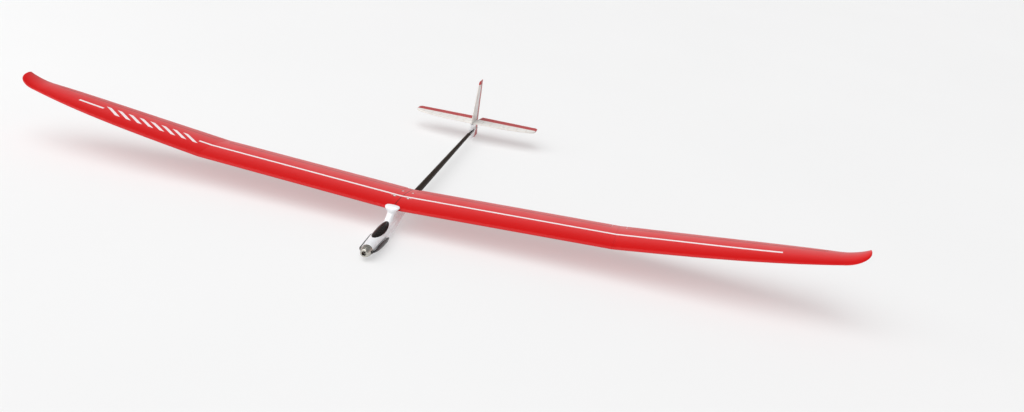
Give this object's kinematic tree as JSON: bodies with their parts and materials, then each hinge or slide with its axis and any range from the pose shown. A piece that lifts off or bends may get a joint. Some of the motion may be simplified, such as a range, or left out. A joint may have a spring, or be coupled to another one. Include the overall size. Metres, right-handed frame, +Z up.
{
  "type": "radio-controlled sailplane",
  "caption": "Electric radio-controlled thermal sailplane: white pod with black hatch and folding propeller, carbon boom, long red polyhedral wing with flaps and ailerons, cross tail.",
  "frame": {"origin": "middle of the flat under the belly of the pod", "axes": "+X to the aircraft's left wing tip, -Y to the nose, +Z up"},
  "size_m": [2.969, 1.3503, 0.2503],
  "materials": {
    "white_gelcoat": "gloss white gelcoat on glass fibre",
    "black_gelcoat": "gloss black gelcoat",
    "red_film": "glossy red iron-on film with a thin white stripe",
    "white_film": "glossy translucent white iron-on film",
    "carbon": "satin dark carbon fibre",
    "spinner_metal": "champagne anodised aluminium",
    "blade_black": "satin black moulded carbon plastic",
    "steel": "bright steel",
    "motor_black": "black anodised metal",
    "plywood": "birch plywood",
    "servo_case": "moulded black plastic",
    "white_nylon": "white nylon",
    "blue_shrink": "blue heat-shrink sleeve",
    "battery_wrap": "dark shrink-wrapped battery"
  },
  "bodies": {
    "airframe": {"fuselage_pod": "white_gelcoat", "firewall": "plywood", "motor_stator": "steel", "speed_controller": "blue_shrink", "battery_pack": "battery_wrap", "servo_tray": "plywood", "rudder_servo": "servo_case", "elevator_servo": "servo_case", "receiver": "servo_case", "wing_plate": "plywood", "inner_wing_left": "red_film", "inner_wing_right": "red_film", "outer_wing_left": "red_film", "outer_wing_right": "red_film", "wing_joiner_centre": "carbon", "wing_joiner_break_left": "carbon", "wing_joiner_break_right": "carbon", "flap_servo_left": "servo_case", "flap_servo_right": "servo_case", "aileron_servo_left": "servo_case", "aileron_servo_right": "servo_case", "wing_bolt_front_left": "white_nylon", "wing_bolt_front_right": "white_nylon", "wing_bolt_rear_left": "white_nylon", "wing_bolt_rear_right": "white_nylon", "tail_boom": "carbon", "tail_mount": "white_gelcoat", "fin": "white_film", "stabilizer": "white_film"},
    "rotor": {"spinner": "spinner_metal", "propeller_hub": "spinner_metal", "motor_bell": "motor_black", "motor_shaft": "steel", "blade_pin_left": "steel", "blade_pin_right": "steel"},
    "blade_left": {"propeller_blade_left": "blade_black"},
    "blade_right": {"propeller_blade_right": "blade_black"},
    "hatch": {"canopy_hatch": "black_gelcoat"},
    "flap_left": {"flap_left": "red_film"},
    "flap_right": {"flap_right": "red_film"},
    "aileron_left": {"aileron_left": "red_film"},
    "aileron_right": {"aileron_right": "red_film"},
    "flap_arm_left": {"flap_servo_arm_left": "white_nylon"},
    "flap_arm_right": {"flap_servo_arm_right": "white_nylon"},
    "flap_link_left": {"flap_link_left": "steel"},
    "flap_link_right": {"flap_link_right": "steel"},
    "aileron_arm_left": {"aileron_servo_arm_left": "white_nylon"},
    "aileron_arm_right": {"aileron_servo_arm_right": "white_nylon"},
    "aileron_link_left": {"aileron_link_left": "steel"},
    "aileron_link_right": {"aileron_link_right": "steel"},
    "rudder": {"rudder": "red_film"},
    "elevator": {"elevator_left": "red_film", "elevator_right": "red_film", "elevator_joiner": "steel"},
    "rudder_arm": {"rudder_servo_arm": "white_nylon"},
    "elevator_arm": {"elevator_servo_arm": "white_nylon"},
    "rudder_rod": {"rudder_pushrod": "steel"},
    "elevator_rod": {"elevator_pushrod": "steel"}
  },
  "joints": [
    {"name": "propeller_spin", "type": "hinge", "parent": "airframe", "child": "rotor", "pos_m": [0, -0.13755, 0.0271], "axis": [0, -0.9998, 0.0174], "continuous": true},
    {"name": "blade_fold_left", "type": "hinge", "parent": "rotor", "child": "blade_left", "pos_m": [0.017, -0.13755, 0.0271], "axis": [0, -0.0174, -0.9998], "range_deg": [0, 90]},
    {"name": "blade_fold_right", "type": "hinge", "parent": "rotor", "child": "blade_right", "pos_m": [-0.017, -0.13755, 0.0271], "axis": [0, 0.0174, 0.9998], "range_deg": [0, 90]},
    {"name": "hatch_lift", "type": "slide", "parent": "airframe", "child": "hatch", "axis": [0, 0.0174, 0.9998], "range_m": [0, 0.06]},
    {"name": "flap_left_hinge", "type": "hinge", "parent": "airframe", "child": "flap_left", "pos_m": [0.3635, 0.27443, 0.08763], "axis": [-0.9992, -0.0204, -0.0346], "range_deg": [-5, 45]},
    {"name": "flap_servo_left", "type": "hinge", "parent": "airframe", "child": "flap_arm_left", "pos_m": [0.3374, 0.21085, 0.08461], "axis": [-0.9992, -0.0204, -0.0346], "range_deg": [-5, 45]},
    {"name": "flap_link_left", "type": "hinge", "parent": "flap_arm_left", "child": "flap_link_left", "pos_m": [0.3398, 0.21055, 0.06762], "axis": [-0.9992, -0.0204, -0.0346], "range_deg": [-45, 45]},
    {"name": "flap_right_hinge", "type": "hinge", "parent": "airframe", "child": "flap_right", "pos_m": [-0.3635, 0.27443, 0.08763], "axis": [-0.9992, 0.0204, 0.0346], "range_deg": [-5, 45]},
    {"name": "flap_servo_right", "type": "hinge", "parent": "airframe", "child": "flap_arm_right", "pos_m": [-0.3374, 0.21085, 0.08461], "axis": [-0.9992, 0.0204, 0.0346], "range_deg": [-5, 45]},
    {"name": "flap_link_right", "type": "hinge", "parent": "flap_arm_right", "child": "flap_link_right", "pos_m": [-0.3398, 0.21055, 0.06762], "axis": [-0.9992, 0.0204, 0.0346], "range_deg": [-45, 45]},
    {"name": "aileron_left_hinge", "type": "hinge", "parent": "airframe", "child": "aileron_left", "pos_m": [1.0595, 0.25727, 0.14937], "axis": [-0.9866, 0.0727, -0.1459], "range_deg": [-20, 20]},
    {"name": "aileron_servo_left", "type": "hinge", "parent": "airframe", "child": "aileron_arm_left", "pos_m": [0.9674, 0.20792, 0.13331], "axis": [-0.9866, 0.0727, -0.1459], "range_deg": [-20, 20]},
    {"name": "aileron_link_left", "type": "hinge", "parent": "aileron_arm_left", "child": "aileron_link_left", "pos_m": [0.9698, 0.20762, 0.11631], "axis": [-0.9866, 0.0727, -0.1459], "range_deg": [-20, 20]},
    {"name": "aileron_right_hinge", "type": "hinge", "parent": "airframe", "child": "aileron_right", "pos_m": [-1.0595, 0.25727, 0.14937], "axis": [-0.9866, -0.0727, 0.1459], "range_deg": [-20, 20]},
    {"name": "aileron_servo_right", "type": "hinge", "parent": "airframe", "child": "aileron_arm_right", "pos_m": [-0.9674, 0.20792, 0.13331], "axis": [-0.9866, -0.0727, 0.1459], "range_deg": [-20, 20]},
    {"name": "aileron_link_right", "type": "hinge", "parent": "aileron_arm_right", "child": "aileron_link_right", "pos_m": [-0.9698, 0.20762, 0.11631], "axis": [-0.9866, -0.0727, 0.1459], "range_deg": [-20, 20]},
    {"name": "rudder_hinge", "type": "hinge", "parent": "airframe", "child": "rudder", "pos_m": [0, 1.13353, 0.06096], "axis": [0, 0.05, 0.9987], "range_deg": [-20, 20]},
    {"name": "elevator_hinge", "type": "hinge", "parent": "airframe", "child": "elevator", "pos_m": [0, 1.13555, 0.07893], "axis": [1, 0, 0], "range_deg": [-20, 20]},
    {"name": "rudder_servo_turn", "type": "hinge", "parent": "airframe", "child": "rudder_arm", "pos_m": [0.0064, 0.08866, 0.03716], "axis": [0, 0.0174, 0.9998], "range_deg": [-27, 27]},
    {"name": "elevator_servo_turn", "type": "hinge", "parent": "airframe", "child": "elevator_arm", "pos_m": [-0.0064, 0.08866, 0.03716], "axis": [0, 0.0174, 0.9998], "range_deg": [-27, 27]},
    {"name": "rudder_pushrod_slide", "type": "slide", "parent": "airframe", "child": "rudder_rod", "axis": [0, 1, 0.0015], "range_m": [-0.0045, 0.0045]},
    {"name": "elevator_pushrod_slide", "type": "slide", "parent": "airframe", "child": "elevator_rod", "axis": [0, 1, 0.0015], "range_m": [-0.0045, 0.0045]}
  ],
  "couplings": [
    {"joint": "flap_servo_left", "follows": "flap_left_hinge", "ratio": 1},
    {"joint": "flap_link_left", "follows": "flap_left_hinge", "ratio": -1},
    {"joint": "flap_right_hinge", "follows": "flap_left_hinge", "ratio": 1},
    {"joint": "flap_servo_right", "follows": "flap_left_hinge", "ratio": 1},
    {"joint": "flap_link_right", "follows": "flap_left_hinge", "ratio": -1},
    {"joint": "aileron_servo_left", "follows": "aileron_left_hinge", "ratio": 1},
    {"joint": "aileron_link_left", "follows": "aileron_left_hinge", "ratio": -1},
    {"joint": "aileron_right_hinge", "follows": "aileron_left_hinge", "ratio": -1},
    {"joint": "aileron_servo_right", "follows": "aileron_left_hinge", "ratio": -1},
    {"joint": "aileron_link_right", "follows": "aileron_left_hinge", "ratio": 1},
    {"joint": "rudder_servo_turn", "follows": "rudder_hinge", "ratio": 1.0667},
    {"joint": "rudder_pushrod_slide", "follows": "rudder_hinge", "m_per_rad": 0.0096},
    {"joint": "elevator_servo_turn", "follows": "elevator_hinge", "ratio": -1.3333},
    {"joint": "elevator_pushrod_slide", "follows": "elevator_hinge", "m_per_rad": 0.012}
  ]
}
